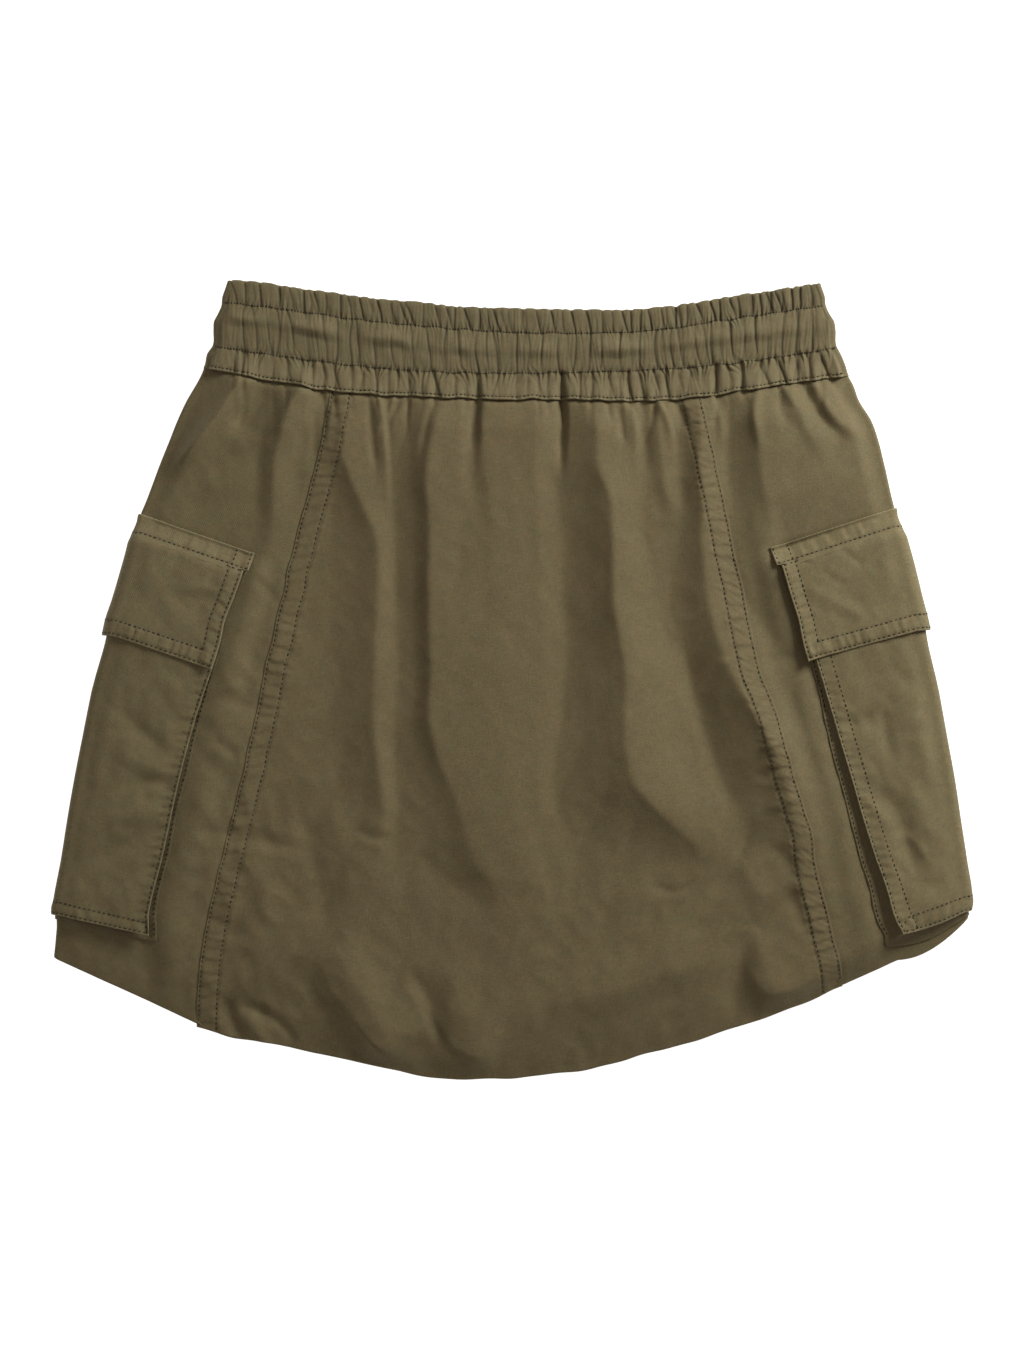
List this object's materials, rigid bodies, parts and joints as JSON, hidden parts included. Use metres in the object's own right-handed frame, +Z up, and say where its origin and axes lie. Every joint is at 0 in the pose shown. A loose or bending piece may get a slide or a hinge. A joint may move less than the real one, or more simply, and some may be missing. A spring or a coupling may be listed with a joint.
{
  "type": "cargo utility skirt",
  "caption": "Short olive cotton cargo skirt laid flat: gathered elastic waistband, long felled seams, a turned hem and a flapped bellows pocket wrapped round each side.",
  "frame": {"origin": "on the surface that the skirt lies on, under the middle of its outline", "axes": "+X to the right of someone who looks down with the waist away from them, +Y towards the waist, +Z up from the surface"},
  "size_m": [0.4972, 0.4324, 0.0132],
  "materials": {
    "waistband": "matte washed cotton twill, gathered",
    "panel": "matte washed cotton twill",
    "side_panel": "matte washed cotton twill",
    "pocket": "matte washed cotton twill",
    "gusset": "matte washed cotton twill",
    "flap": "matte washed cotton twill, worn at its edges"
  },
  "bodies": {
    "root": {"waistband": "waistband", "front_panel": "panel", "back_panel": "panel", "side_panel_left": "side_panel", "side_panel_right": "side_panel", "pocket_left": "pocket", "pocket_right": "pocket", "pocket_gusset_left": "gusset", "pocket_gusset_right": "gusset", "pocket_flap_left": "flap", "pocket_flap_right": "flap"}
  },
  "joints": []
}
